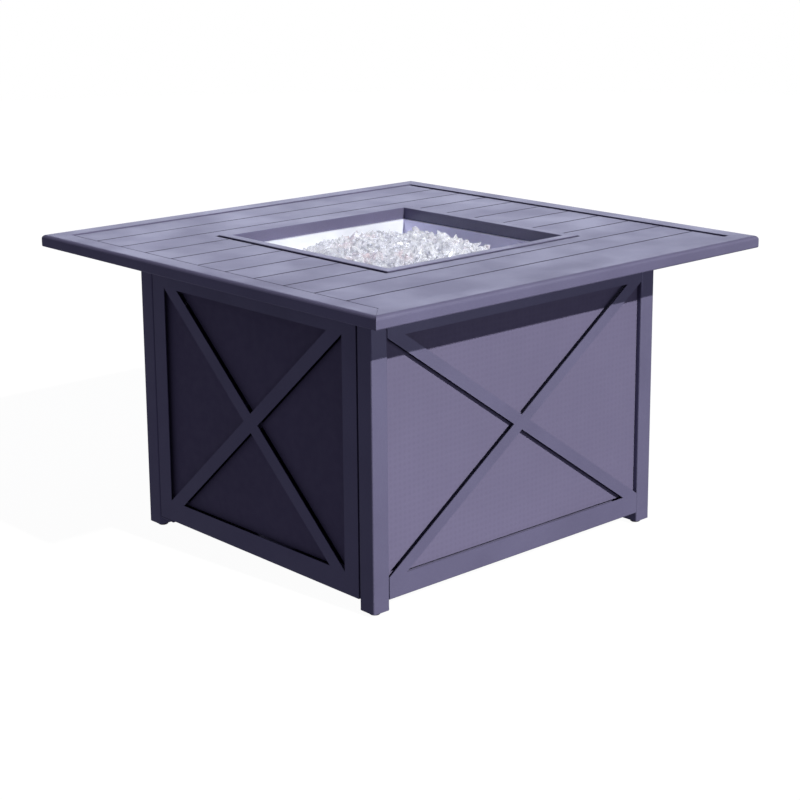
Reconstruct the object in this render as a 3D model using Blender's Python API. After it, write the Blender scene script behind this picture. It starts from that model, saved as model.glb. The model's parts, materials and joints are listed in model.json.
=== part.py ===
"""Square slatted gas fire table with an X-panelled base, a burner pan and an access door.

Metres, +Z up. The origin is on the floor under the middle of the table. The front, with the door, faces -Y.
The slats run along Y.
"""
import math

import bmesh
import bpy
from mathutils import Matrix, Vector
from mathutils.geometry import tessellate_polygon

# Table top
TABLE_SIDE = 1.0668
TABLE_HEIGHT = 0.635
SLAB_DEPTH = 0.0254
TOP_FRAME_WIDTH = 0.04445
TOP_FRAME_ROUND = (0.003, 0.001, 0.008, 0.003)
LEDGE_WIDTH = 0.012
SLAT_COUNT = 11
SLAT_PITCH = 0.0885
SLAT_GAP = 0.0032
SLAT_DEPTH = 0.019
SLAT_WALL = 0.0012
SLAT_DROP = 0.002
SLAT_ROUND = 0.0008
SLAT_END_GAP = 0.007
TRIM_OUTER = 0.2667
TRIM_WIDTH = 0.0222
TRIM_WALL = 0.002
BEARER_WIDTH = 0.050

# Base
BASE_X = 0.734
BASE_Y = 0.797
LEG_SIDE = 0.040
LEG_BOTTOM = 0.0075
RAIL_DEPTH = 0.025
BOTTOM_RAIL_LOW = 0.028
BOTTOM_RAIL_HIGH = 0.072
TOP_RAIL_LOW = 0.5385
APRON_LOW = 0.5755
BRACE_FOOT = 0.044
PANEL_WALL = 0.0016
SHEET_FACE = 0.0104
SHEET_DEPTH = 0.0012
SLOT_START = 0.015
SLOT_END = 0.97
TUBE_WALL = 0.0016
TUBE_ROUND = 0.003
SHELF_LOW = 0.034
TANK_Y = -0.190
TANK_RING = 0.165

# Door
DOOR_GAP = 0.003
DOOR_TOP = 0.5725
DOOR_STILE = 0.040
DOOR_DEPTH = 0.022
PIN_RADIUS = 0.004
PIN_BORE = 0.0043
BUSHING_HEIGHT = 0.015
BUSHING_NECK = 0.007
PAD_HALF = 0.012
NOTCH = (0.034, 0.022)

# Burner
PAN_HALF = 0.2385
PAN_SHEET = 0.0012
PAN_FLOOR = 0.530
PAN_FLANGE = 0.262
PAN_FLANGE_DEPTH = 0.0015
CRADLE_INNER = 0.2415
CRADLE_BAR = 0.012
SHIELD_FLOOR = 0.510
RING_RADIUS = 0.150
RING_TUBE = 0.008
GLASS_LOW = 0.552
GLASS_EDGE = 0.556
GLASS_MOUND = 0.062
GLASS_RADIUS = 0.240
GLASS_POWER = 4
ELECTRODE_Y = 0.190

# Controls, on the back top rail
KNOB_X = 0.035
BUTTON_X = -0.035
OUTLET_Y = 0.348
PLATE_SIZE = (0.150, 0.055)
PLATE_DEPTH = 0.002

# Fits
FIT = 0.0003
OVERLAP = 0.001

SLAB_LOW = TABLE_HEIGHT - SLAB_DEPTH
BASE_TOP = SLAB_LOW - FIT
FRAME_INNER = TABLE_SIDE / 2 - TOP_FRAME_WIDTH
TRIM_INNER = TRIM_OUTER - TRIM_WIDTH
SLAT_TOP = TABLE_HEIGHT - SLAT_DROP
SLAT_LOW = SLAT_TOP - SLAT_DEPTH
SPAN_X = BASE_X / 2 - LEG_SIDE
SPAN_Y = BASE_Y / 2 - LEG_SIDE
DOOR_HALF = SPAN_X - DOOR_GAP
PIVOT_X = -DOOR_HALF + DOOR_STILE / 2
PIVOT_Y = -BASE_Y / 2 + DOOR_DEPTH / 2
CONTROL_Z = (TOP_RAIL_LOW + BASE_TOP) / 2
BACK_FACE = BASE_Y / 2
CENTRE_HEIGHT = PAN_FLOOR + PAN_SHEET
MIXER_FOOT = PAN_FLOOR - 0.073

# name: (colour, roughness, metallic)
FINISHES = {
    "powder_coat": ((0.105, 0.098, 0.145, 1.0), 0.45, 0.2),
    "textured_coat": ((0.115, 0.110, 0.155, 1.0), 0.55, 0.1),
    "stainless": ((0.62, 0.61, 0.60, 1.0), 0.28, 1.0),
    "aluminised_sheet": ((0.45, 0.45, 0.46, 1.0), 0.45, 1.0),
    "brass": ((0.70, 0.52, 0.25, 1.0), 0.30, 1.0),
    "copper_pipe": ((0.55, 0.42, 0.22, 1.0), 0.35, 1.0),
    "black_nylon": ((0.02, 0.02, 0.022, 1.0), 0.50, 0.0),
    "knob_plastic": ((0.03, 0.03, 0.033, 1.0), 0.40, 0.0),
    "red_plastic": ((0.30, 0.02, 0.02, 1.0), 0.40, 0.0),
    "ceramic": ((0.80, 0.78, 0.74, 1.0), 0.50, 0.0),
    "fire_glass": ((0.85, 0.86, 0.88, 1.0), 0.08, 0.0),
}


def clear_scene():
    for obj in list(bpy.data.objects):
        bpy.data.objects.remove(obj, do_unlink=True)


def make_material(name):
    colour, roughness, metallic = FINISHES[name]
    mat = bpy.data.materials.new(name)
    mat.use_nodes = True
    shader = mat.node_tree.nodes["Principled BSDF"]
    shader.inputs["Base Color"].default_value = colour
    shader.inputs["Roughness"].default_value = roughness
    shader.inputs["Metallic"].default_value = metallic
    return mat


def add_object(name, mesh, finish, location=(0, 0, 0), turn=0.0, parent=None):
    """Link a mesh as a named object with its own material; location is in the parent's space."""
    obj = bpy.data.objects.new(name, mesh)
    obj.location = location
    obj.rotation_euler = (0, 0, turn)
    obj.parent = parent
    if not mesh.materials:
        mesh.materials.append(None)
    bpy.context.collection.objects.link(obj)
    obj.material_slots[0].link = "OBJECT"
    obj.material_slots[0].material = make_material(finish)
    return obj


def finish_mesh(name, bm):
    bmesh.ops.recalc_face_normals(bm, faces=bm.faces)
    mesh = bpy.data.meshes.new(name)
    bm.to_mesh(mesh)
    bm.free()
    mesh.shade_smooth()
    mesh.set_sharp_from_angle(angle=math.radians(35))
    return mesh


# Outlines, as lists of (u, v) points


def rectangle(u0, u1, v0, v1):
    return [(u0, v0), (u1, v0), (u1, v1), (u0, v1)]


def rounded_rectangle(u0, u1, v0, v1, radii, steps=3):
    """radii is one radius, or four, in the order (u1, v0), (u1, v1), (u0, v1), (u0, v0)."""
    if isinstance(radii, float):
        radii = (radii,) * 4
    corners = [(u1, v0, -1, 1), (u1, v1, -1, -1), (u0, v1, 1, -1), (u0, v0, 1, 1)]
    points = []
    for turn, (u, v, inward_u, inward_v) in enumerate(corners):
        radius = radii[turn]
        for k in range(steps + 1):
            angle = math.radians(90 * (turn - 1 + k / steps))
            points.append((u + radius * (inward_u + math.cos(angle)),
                           v + radius * (inward_v + math.sin(angle))))
    return points


def circle(u, v, radius, count=24):
    angles = [2 * math.pi * k / count for k in range(count)]
    return [(u + radius * math.cos(a), v + radius * math.sin(a)) for a in angles]


def tube_section(u0, u1, v0, v1, radius=TUBE_ROUND, wall=TUBE_WALL):
    """A rounded rectangular tube: its outside, and its bore."""
    return [rounded_rectangle(u0, u1, v0, v1, radius),
            rectangle(u0 + wall, u1 - wall, v0 + wall, v1 - wall)]


def cross_gaps(half, low, high, foot, u=0.0, beyond=0.0):
    """The four triangles between two bars crossed in a frame; the ones at the sides may open beyond it."""
    slope = (high - low) / (2 * half - foot)
    middle = (low + high) / 2
    over = [(u - half + foot, high), (u, low + slope * half), (u + half - foot, high)]
    under = [(u - half + foot, low), (u + half - foot, low), (u, low + slope * (half - foot))]
    gaps = [over, under]
    for side in (-1, 1):
        gap = [(u + side * half, low), (u + side * foot / 2, middle), (u + side * half, high)]
        if beyond:
            gap += [(u + side * (half + beyond), high), (u + side * (half + beyond), low)]
        gaps.append(gap)
    return gaps


def between(p, q, share):
    return (p[0] + share * (q[0] - p[0]), p[1] + share * (q[1] - p[1]))


def cross_slots(half, low, high, foot, u=0.0):
    """The outlines of the four arms of the cross, short of its middle and of the corners."""
    over, under, left, right = cross_gaps(half, low, high, foot, u)
    arms = [(over[1], over[2], right[1], right[2]), (over[1], over[0], left[1], left[2]),
            (under[2], under[1], right[1], right[0]), (under[2], under[0], left[1], left[0])]
    return [[between(a, b, SLOT_START), between(a, b, SLOT_END),
             between(c, d, SLOT_END), between(c, d, SLOT_START)] for a, b, c, d in arms]


# Solids


def prism(name, loops, low, high, axes="xyz"):
    """Extrude an outline with holes. axes names the world axes of u, v and the extrusion.

    low and high are distances, or functions of (u, v) for an end cut at a slant.
    """
    order = ["xyz".index(axis) for axis in axes]
    flat = [point for loop in loops for point in loop]
    bm = bmesh.new()
    rows = []
    for end in (low, high):
        row = []
        for u, v in flat:
            place = Vector((0, 0, 0))
            distance = end(u, v) if callable(end) else end
            for axis, value in zip(order, (u, v, distance)):
                place[axis] = value
            row.append(bm.verts.new(place))
        rows.append(row)
    triangles = tessellate_polygon([[Vector((u, v, 0)) for u, v in loop] for loop in loops])
    for row in rows:
        for corners in triangles:
            bm.faces.new([row[k] for k in corners])
    start = 0
    for loop in loops:
        count = len(loop)
        for k in range(count):
            a = start + k
            b = start + (k + 1) % count
            bm.faces.new([rows[0][a], rows[0][b], rows[1][b], rows[1][a]])
        start += count
    return finish_mesh(name, bm)


def box(name, x0, x1, y0, y1, z0, z1):
    return prism(name, [rectangle(x0, x1, y0, y1)], z0, z1)


def square_ring(name, profile):
    """Carry a closed profile of (distance from the middle, height) points round a square."""
    bm = bmesh.new()
    corners = [(-1, -1), (1, -1), (1, 1), (-1, 1)]
    rings = [[bm.verts.new((sx * d, sy * d, z)) for d, z in profile] for sx, sy in corners]
    count = len(profile)
    for side in range(4):
        here = rings[side]
        there = rings[(side + 1) % 4]
        for k in range(count):
            n = (k + 1) % count
            bm.faces.new([here[k], there[k], there[n], here[n]])
    return finish_mesh(name, bm)


def turned(name, profile, axis="z", count=32):
    """Turn a closed profile of (radius, height) points; points at radius 0 close on the axis."""
    bm = bmesh.new()
    rings = []
    for radius, height in profile:
        if radius == 0:
            rings.append([bm.verts.new((0, 0, height))] * count)
            continue
        rings.append([bm.verts.new((u, v, height)) for u, v in circle(0, 0, radius, count)])
    for k in range(len(rings)):
        low = rings[k]
        high = rings[(k + 1) % len(rings)]
        for j in range(count):
            n = (j + 1) % count
            corners = []
            for vert in (low[j], low[n], high[n], high[j]):
                if vert not in corners:
                    corners.append(vert)
            if len(corners) > 2:
                bm.faces.new(corners)
    if axis == "y":
        bmesh.ops.transform(bm, matrix=Matrix.Rotation(math.radians(-90), 4, "X"), verts=bm.verts)
    return finish_mesh(name, bm)


def torus(name, radius, tube, height, count=48, sides=10):
    profile = [(radius + u, height + v) for u, v in circle(0, 0, tube, sides)]
    return turned(name, profile, count=count)


def helper(name, mesh):
    """A shape that only cuts or joins: left out of the model."""
    obj = bpy.data.objects.new(name, mesh)
    obj.hide_render = True
    obj.hide_viewport = True
    obj.display_type = "WIRE"
    bpy.context.collection.objects.link(obj)
    return obj


def combine(obj, operation, *meshes):
    for mesh in meshes:
        modifier = obj.modifiers.new(mesh.name, "BOOLEAN")
        modifier.operation = operation
        modifier.solver = "EXACT"
        modifier.object = helper(mesh.name, mesh)
        modifier.object.location = obj.location
        modifier.object.rotation_euler = obj.rotation_euler
        modifier.object.parent = obj.parent


# Table top


def make_top_frame():
    """Four tubes with a ledge for the slats along the inside, mitred at the corners."""
    outer = -TABLE_SIDE / 2
    wall = TUBE_WALL
    bore_round = [max(radius - wall, 0.0004) for radius in TOP_FRAME_ROUND]
    steps = 5
    edge = -FRAME_INNER + LEDGE_WIDTH
    ledge = [(edge, SLAB_LOW), (edge, SLAT_LOW - FIT), (-FRAME_INNER, SLAT_LOW - FIT)]
    outside = rounded_rectangle(outer, -FRAME_INNER, SLAB_LOW, TABLE_HEIGHT, TOP_FRAME_ROUND, steps)
    section = [ledge + outside[steps + 1:],
               rounded_rectangle(outer + wall, -FRAME_INNER - wall, SLAB_LOW + wall, TABLE_HEIGHT - wall,
                                 bore_round, steps)]
    mesh = prism("top_frame_rail", section, lambda u, v: u + FIT, lambda u, v: -u - FIT, "yzx")
    for k, side in enumerate(("front", "right", "back", "left")):
        add_object("top_frame_" + side, mesh, "powder_coat", turn=k * math.pi / 2)


def slat_mesh(name, low, high):
    half = (SLAT_PITCH - SLAT_GAP) / 2
    section = tube_section(-half, half, SLAT_LOW, SLAT_TOP, SLAT_ROUND, SLAT_WALL)
    return prism(name, section, low, high, "xzy")


def make_slats():
    """Whole slats at the sides, notched ones beside the opening, short ones in front of it and behind it."""
    outer = FRAME_INNER - SLAT_END_GAP
    inner = TRIM_OUTER + SLAT_END_GAP
    whole = slat_mesh("slat_whole", -outer, outer)
    front = slat_mesh("slat_front", -outer, -inner)
    back = slat_mesh("slat_back", inner, outer)
    notch = box("notch", -TRIM_OUTER - SLAT_GAP, TRIM_OUTER + SLAT_GAP, -inner, inner, SLAB_LOW, TABLE_HEIGHT)
    for k in range(SLAT_COUNT):
        x = (k - (SLAT_COUNT - 1) / 2) * SLAT_PITCH
        name = "slat_%02d" % (k + 1)
        if abs(x) + SLAT_PITCH / 2 < TRIM_OUTER:
            add_object(name + "_front", front, "powder_coat", (x, 0, 0))
            add_object(name + "_back", back, "powder_coat", (x, 0, 0))
            continue
        slat = add_object(name, whole, "powder_coat", (x, 0, 0))
        if abs(x) - SLAT_PITCH / 2 < TRIM_OUTER:
            combine(slat, "DIFFERENCE", notch)
            slat.modifiers[0].object.location = (0, 0, 0)


def make_trim():
    """An angle bent round the opening, with a rounded lip."""
    lip = 0.0012
    low = TABLE_HEIGHT - TRIM_WALL
    profile = [(TRIM_INNER, SLAB_LOW), (TRIM_INNER + TRIM_WALL, SLAB_LOW), (TRIM_INNER + TRIM_WALL, low),
               (TRIM_OUTER, low), (TRIM_OUTER, TABLE_HEIGHT - lip), (TRIM_OUTER - lip, TABLE_HEIGHT),
               (TRIM_INNER + lip, TABLE_HEIGHT), (TRIM_INNER, TABLE_HEIGHT - lip)]
    add_object("opening_trim", square_ring("opening_trim", profile), "powder_coat")


def make_bearers():
    """Flat bars under the slats, from the ledge on one side of the top frame to the other."""
    near = TRIM_OUTER + 0.0053
    half = FRAME_INNER - LEDGE_WIDTH - FIT
    mesh = box("slat_bearer", -half, half, near, near + BEARER_WIDTH, SLAB_LOW, SLAT_LOW - FIT)
    add_object("slat_bearer_back", mesh, "powder_coat")
    add_object("slat_bearer_front", mesh, "powder_coat", turn=math.pi)


# Base


def make_legs():
    """Square tubes with a bored plate welded in at the bottom, and a screw foot in each plate."""
    half = LEG_SIDE / 2
    plate_half = half - TUBE_WALL + 0.0008
    tube = prism("leg", tube_section(-half, half, -half, half), LEG_BOTTOM, BASE_TOP)
    plate_loops = [rectangle(-plate_half, plate_half, -plate_half, plate_half), circle(0, 0, 0.0053)]
    plate = prism("leg_plate", plate_loops, LEG_BOTTOM + 0.0006, LEG_BOTTOM + 0.0046)
    foot = turned("foot", [(0, 0), (0.0095, 0), (0.0108, 0.0012), (0.0110, 0.0045), (0.0095, 0.0066),
                           (0.005, 0.0070), (0.005, 0.032), (0, 0.032)])
    for side_y in ("front", "back"):
        for side_x in ("left", "right"):
            x = (BASE_X / 2 - half) * (1 if side_x == "right" else -1)
            y = (BASE_Y / 2 - half) * (1 if side_y == "back" else -1)
            leg = add_object("leg_%s_%s" % (side_y, side_x), tube, "powder_coat", (x, y, 0))
            combine(leg, "UNION", plate)
            add_object("foot_%s_%s" % (side_y, side_x), foot, "black_nylon", (x, y, 0))


def rail_mesh(name, half, low, high, depth=RAIL_DEPTH, face=0.0):
    """A tube along X with its outer face at y = face."""
    return prism(name, tube_section(face, face + depth, low, high, 0.0015), -half, half, "yzx")


def make_front_apron():
    """The rail over the door, bored for the upper pivot pin."""
    front = -BASE_Y / 2
    apron = add_object("front_apron", rail_mesh("front_apron", SPAN_X - FIT, APRON_LOW, BASE_TOP, face=front),
                       "powder_coat")
    bore = prism("apron_bore", [circle(PIVOT_X, PIVOT_Y, PIN_BORE)], APRON_LOW - 0.001, APRON_LOW + 0.004)
    combine(apron, "DIFFERENCE", bore)


def cut_gaps(frame, front, depth, gaps):
    """Cut triangles through a panel whose outside is at y = front."""
    cuts = [prism("gap", [gap], front - OVERLAP, front + depth + OVERLAP, "xzy") for gap in gaps]
    combine(frame, "DIFFERENCE", *cuts)


def make_side(side, span, reach, turn):
    """A fixed side: a wide flat tube cut through to leave a cross, with a slotted sheet inside it."""
    half = span - FIT
    place = (reach * math.sin(turn), -reach * math.cos(turn), 0)
    panel = rail_mesh("panel_" + side, half, BOTTOM_RAIL_LOW, BASE_TOP)
    frame = add_object("side_frame_" + side, panel, "powder_coat", place, turn)
    gaps = cross_gaps(half, BOTTOM_RAIL_HIGH, TOP_RAIL_LOW, BRACE_FOOT, beyond=OVERLAP)
    cut_gaps(frame, 0.0, RAIL_DEPTH, gaps)
    outline = rectangle(-half, half, BOTTOM_RAIL_HIGH, BASE_TOP - PANEL_WALL - FIT)
    slots = cross_slots(half, BOTTOM_RAIL_HIGH, TOP_RAIL_LOW, BRACE_FOOT)
    sheet = prism("side_sheet_" + side, [outline] + slots, SHEET_FACE, SHEET_FACE + SHEET_DEPTH, "xzy")
    return frame, add_object("side_sheet_" + side, sheet, "textured_coat", place, turn)


def make_sides():
    make_side("right", SPAN_Y, BASE_X / 2, math.pi / 2)
    make_side("left", SPAN_Y, BASE_X / 2, -math.pi / 2)
    back = make_side("back", SPAN_X, BASE_Y / 2, math.pi)
    holes = [("valve_hole", KNOB_X, 0.0080), ("button_hole", BUTTON_X, 0.0117)]
    for name, x, radius in holes:
        for piece in back:
            cut = prism(name, [circle(-x, CONTROL_Z, radius)], -0.001, RAIL_DEPTH + 0.001, "xzy")
            combine(piece, "DIFFERENCE", cut)


def make_door():
    """A folded tray, its face cut out to a cross, with a sheet behind; it turns on pins by its left edge."""
    axis = bpy.data.objects.new("door_axis", None)
    axis.location = (PIVOT_X, PIVOT_Y, 0)
    bpy.context.collection.objects.link(axis)
    left = -DOOR_HALF - PIVOT_X
    right = DOOR_HALF - PIVOT_X
    low = BOTTOM_RAIL_LOW
    high = DOOR_TOP
    front = -DOOR_DEPTH / 2
    wall = PANEL_WALL
    face = box("door_face", left, right, front, front + wall, low, high)
    frame = add_object("door_frame", face, "powder_coat", parent=axis)
    edges = [rectangle(left, right, low, high), rectangle(left + wall, right - wall, low + wall, high - wall)]
    edge = prism("door_edge", edges, front + wall / 2, -front, "xzy")
    pad = box("door_pad", -PAD_HALF, PAD_HALF, front + wall / 2, 0.0085, high - 0.010, high - wall / 2)
    combine(frame, "UNION", edge, pad)
    cross = (DOOR_HALF - DOOR_STILE, BOTTOM_RAIL_HIGH, TOP_RAIL_LOW, BRACE_FOOT, (left + right) / 2)
    cut_gaps(frame, front, wall, cross_gaps(*cross))
    bore = prism("door_bore", [circle(0, 0, PIN_BORE)], high - 0.012, high + 0.001)
    seat = prism("door_seat", [circle(0, 0, BUSHING_NECK + FIT)], low - 0.001, low + wall + 0.001)
    combine(frame, "DIFFERENCE", bore, seat)
    make_door_sheet(axis, left + wall + FIT, right - wall - FIT, high - wall - FIT, cross_slots(*cross))
    make_bushing(axis)


def make_door_sheet(axis, u0, u1, top, slots):
    """The sheet behind the cross, notched clear of the upper pin."""
    width, height = NOTCH
    outline = [(u0, BOTTOM_RAIL_HIGH), (u1, BOTTOM_RAIL_HIGH), (u1, top), (u0 + width, top),
               (u0 + width, top - height), (u0, top - height)]
    low = SHEET_FACE - DOOR_DEPTH / 2
    sheet = prism("door_sheet", [outline] + slots, low, low + SHEET_DEPTH, "xzy")
    add_object("door_sheet", sheet, "textured_coat", parent=axis)


def make_bushing(axis):
    """A nylon block on the tray's floor, with a neck through it and a collar that carries the door."""
    low = BOTTOM_RAIL_LOW
    floor = low + PANEL_WALL
    block = box("door_bushing", -0.013, 0.013, -0.0085, 0.0085, floor + FIT, low + BUSHING_HEIGHT)
    neck = prism("bushing_neck", [circle(0, 0, BUSHING_NECK)], low - 0.001, floor + 0.001)
    collar = prism("bushing_collar", [circle(0, 0, 0.0095)], low - 0.0012, low - FIT)
    bushing = add_object("door_bushing", block, "black_nylon", parent=axis)
    combine(bushing, "UNION", neck, collar)
    combine(bushing, "DIFFERENCE", prism("bushing_bore", [circle(0, 0, PIN_BORE)], low - 0.002, low + 0.020))


def make_pivots():
    """The upper pin hangs by its head in the apron; the lower one stands on a bracket on the leg."""
    head = APRON_LOW + TUBE_WALL + FIT
    pin = turned("door_pin_upper", [(0, APRON_LOW - 0.014), (PIN_RADIUS, APRON_LOW - 0.014), (PIN_RADIUS, head),
                                    (0.007, head), (0.007, head + 0.002), (0, head + 0.002)])
    add_object("door_pin_upper", pin, "stainless", (PIVOT_X, PIVOT_Y, 0))
    top = BOTTOM_RAIL_LOW - 0.0012 - FIT
    x0 = -SPAN_X + FIT - PIVOT_X
    plate = box("bracket_plate", x0, x0 + 0.045, -0.010, 0.014, top - 0.003, top)
    bracket = add_object("door_pivot_bracket", plate, "powder_coat", (PIVOT_X, PIVOT_Y, 0))
    stub = turned("bracket_pin", [(0, top - 0.002), (PIN_RADIUS, top - 0.002), (PIN_RADIUS, top + 0.014),
                                  (0, top + 0.014)])
    combine(bracket, "UNION", stub)
    catch = box("door_catch", SPAN_X - FIT - 0.015, SPAN_X - FIT, -BASE_Y / 2 + DOOR_DEPTH + 0.0005,
                -BASE_Y / 2 + LEG_SIDE - 0.002, 0.450, 0.490)
    add_object("door_catch", catch, "black_nylon")


def make_shelf():
    """A tray hung between the side rails, with a ring that holds the gas cylinder."""
    top = BOTTOM_RAIL_HIGH + FIT + SHEET_DEPTH
    out = BASE_X / 2 - SHEET_FACE - SHEET_DEPTH - FIT
    wall = BASE_X / 2 - RAIL_DEPTH - FIT
    under = top - SHEET_DEPTH
    floor = SHELF_LOW + SHEET_DEPTH
    profile = [(-out, under), (-wall, under), (-wall, SHELF_LOW), (wall, SHELF_LOW), (wall, under),
               (out, under), (out, top), (wall - SHEET_DEPTH, top), (wall - SHEET_DEPTH, floor),
               (-wall + SHEET_DEPTH, floor), (-wall + SHEET_DEPTH, top), (-out, top)]
    end = SPAN_Y - FIT
    shelf = add_object("tank_shelf", prism("tank_shelf", [profile], -end, end, "xzy"), "powder_coat")
    ring = prism("tank_ring", [circle(0, TANK_Y, TANK_RING, 48), circle(0, TANK_Y, TANK_RING - 0.003, 48)],
                 floor - 0.0005, floor + 0.025)
    combine(shelf, "UNION", ring)
    reach = BRACE_FOOT + 0.006
    for sx in (-1, 1):
        for sy in (-1, 1):
            x = sorted((sx * wall, sx * (out + OVERLAP)))
            y = sorted((sy * (end - reach), sy * (end + OVERLAP)))
            notch = box("shelf_notch", *x, *y, under - OVERLAP, top + OVERLAP)
            combine(shelf, "DIFFERENCE", notch)


# Burner


def make_pan():
    """A folded stainless tray that hangs by its flange, drained and bored for the burner and the electrode."""
    top = BASE_TOP
    low = PAN_FLOOR
    outer = PAN_HALF + PAN_SHEET
    profile = [(PAN_HALF, top), (PAN_HALF, low), (outer, low), (outer, top - PAN_FLANGE_DEPTH),
               (PAN_FLANGE, top - PAN_FLANGE_DEPTH), (PAN_FLANGE, top)]
    pan = add_object("burner_pan", square_ring("pan_wall", profile), "stainless")
    edge = PAN_HALF + PAN_SHEET / 2
    holes = [circle(0, 0, 0.0105), circle(0, ELECTRODE_Y, 0.0042, 16)]
    for x in (-0.18, 0.18):
        for y in (-0.18, 0.18):
            holes.append(circle(x, y, 0.005, 16))
    floor = prism("pan_floor", [rectangle(-edge, edge, -edge, edge)] + holes, low + 0.0001, low + PAN_SHEET)
    combine(pan, "UNION", floor)


def make_cradle():
    """Two long bars from the apron to the back rail and two cross bars, under the pan's flange."""
    high = BASE_TOP - PAN_FLANGE_DEPTH - FIT
    low = high - CRADLE_BAR
    inner = CRADLE_INNER
    outer = inner + CRADLE_BAR
    end = BASE_Y / 2 - RAIL_DEPTH - FIT
    outline = [(-outer, -end), (-inner, -end), (-inner, -outer), (inner, -outer), (inner, -end), (outer, -end),
               (outer, end), (inner, end), (inner, outer), (-inner, outer), (-inner, end), (-outer, end)]
    hole = rectangle(-inner, inner, -inner, inner)
    add_object("pan_cradle", prism("pan_cradle", [outline, hole], low, high), "powder_coat")


def make_shield():
    """A folded tray under the pan that keeps its heat off the gas cylinder."""
    sheet = 0.0015
    top = BASE_TOP - PAN_FLANGE_DEPTH - CRADLE_BAR - 2 * FIT
    out = CRADLE_INNER + CRADLE_BAR - 0.002
    wall = CRADLE_INNER
    low = SHIELD_FLOOR
    profile = [(-out, top - sheet), (-wall, top - sheet), (-wall, low), (wall, low), (wall, top - sheet),
               (out, top - sheet), (out, top), (wall - sheet, top), (wall - sheet, low + sheet),
               (-wall + sheet, low + sheet), (-wall + sheet, top), (-out, top)]
    tray = prism("heat_shield", [profile], -0.238, 0.238, "xzy")
    shield = add_object("heat_shield", tray, "aluminised_sheet")
    combine(shield, "DIFFERENCE", prism("shield_hole", [circle(0, 0, 0.022)], low - 0.002, low + 0.004))


def make_burner():
    """A ring with a cross tube and a hub, screwed on to the air mixer through the pan's floor."""
    height = CENTRE_HEIGHT + FIT + 0.010
    hub_low = CENTRE_HEIGHT + FIT
    ring = add_object("burner_ring", torus("burner_ring", RING_RADIUS, RING_TUBE, height), "stainless")
    arm = prism("burner_arm", [circle(0, height, 0.006, 16)], -RING_RADIUS, RING_RADIUS, "yzx")
    hub = turned("burner_hub", [(0.0103, hub_low), (0.016, hub_low), (0.016, hub_low + 0.020),
                                (0, hub_low + 0.020), (0, hub_low + 0.008), (0.0103, hub_low + 0.008)])
    combine(ring, "UNION", arm, hub)
    make_mixer()
    make_electrode()


def make_mixer():
    """A turned tube: thread, hexagonal shoulder, body with air windows, foot ring; the shutter turns on it."""
    bore = 0.0055
    shoulder = PAN_FLOOR - FIT
    foot = MIXER_FOOT
    profile = [(bore, CENTRE_HEIGHT + 0.0038), (bore, foot), (0.0150, foot), (0.0150, foot + 0.004),
               (0.0120, foot + 0.004), (0.0120, shoulder - 0.006), (0.0170, shoulder - 0.006),
               (0.0170, shoulder), (0.0100, shoulder), (0.0100, CENTRE_HEIGHT + 0.0038)]
    mixer = add_object("air_mixer", turned("air_mixer", profile), "brass")
    window = box("mixer_window", -0.004, 0.004, -0.020, 0.020, foot + 0.012, foot + 0.026)
    combine(mixer, "DIFFERENCE", window)
    loops = [circle(0, 0, 0.0148, 32), circle(0, 0, 0.0124, 32)]
    sleeve = prism("air_shutter", loops, foot + 0.0045, foot + 0.034)
    shutter = add_object("air_shutter", sleeve, "stainless")
    slot = box("shutter_window", -0.0045, 0.0045, -0.020, 0.020, foot + 0.011, foot + 0.027)
    combine(shutter, "DIFFERENCE", slot)


def make_electrode():
    """A ceramic sleeve on the pan's floor with the spark pin standing in it."""
    base = CENTRE_HEIGHT + FIT
    profile = [(0, base - 0.016), (0.0035, base - 0.016), (0.0035, base), (0.0065, base),
               (0.0065, base + 0.003), (0.0035, base + 0.003), (0.0035, base + 0.011),
               (0.0010, base + 0.011), (0.0010, base + 0.017), (0, base + 0.017)]
    sleeve = turned("igniter_electrode", profile, count=16)
    add_object("igniter_electrode", sleeve, "ceramic", (0, ELECTRODE_Y, 0))


def make_glass():
    """The heap of crushed glass as one plain mound on the burner ring."""
    half = PAN_HALF - 0.001
    count = 16
    bm = bmesh.new()
    rows = []
    for j in range(count + 1):
        for k in range(count + 1):
            x = half * (2 * k / count - 1)
            y = half * (2 * j / count - 1)
            distance = math.hypot(x, y) / GLASS_RADIUS
            height = GLASS_EDGE + GLASS_MOUND * max(0.0, 1 - distance ** GLASS_POWER)
            rows.append((bm.verts.new((x, y, height)), bm.verts.new((x, y, GLASS_LOW))))
    for j in range(count):
        for k in range(count):
            a = j * (count + 1) + k
            ring = (a, a + 1, a + count + 2, a + count + 1)
            for level in (0, 1):
                bm.faces.new([rows[i][level] for i in ring])
    for k in range(count):
        for a, b in ((k, k + 1), (k * (count + 1), (k + 1) * (count + 1))):
            for shift in (0, count * (count + 1) if b - a == 1 else count):
                bm.faces.new([rows[a + shift][0], rows[b + shift][0], rows[b + shift][1], rows[a + shift][1]])
    add_object("fire_glass", finish_mesh("fire_glass", bm), "fire_glass")


# Gas line and controls


def smooth_route(points, steps):
    """Points of a Catmull-Rom curve through the given points."""
    line = [Vector(p) for p in points]
    line = [2 * line[0] - line[1]] + line + [2 * line[-1] - line[-2]]
    route = []
    for a, b, c, d in zip(line, line[1:], line[2:], line[3:]):
        for k in range(steps):
            t = k / steps
            route.append(0.5 * (2 * b + (c - a) * t + (2 * a - 5 * b + 4 * c - d) * t ** 2
                                + (3 * b - a - 3 * c + d) * t ** 3))
    return route + [line[-2]]


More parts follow.
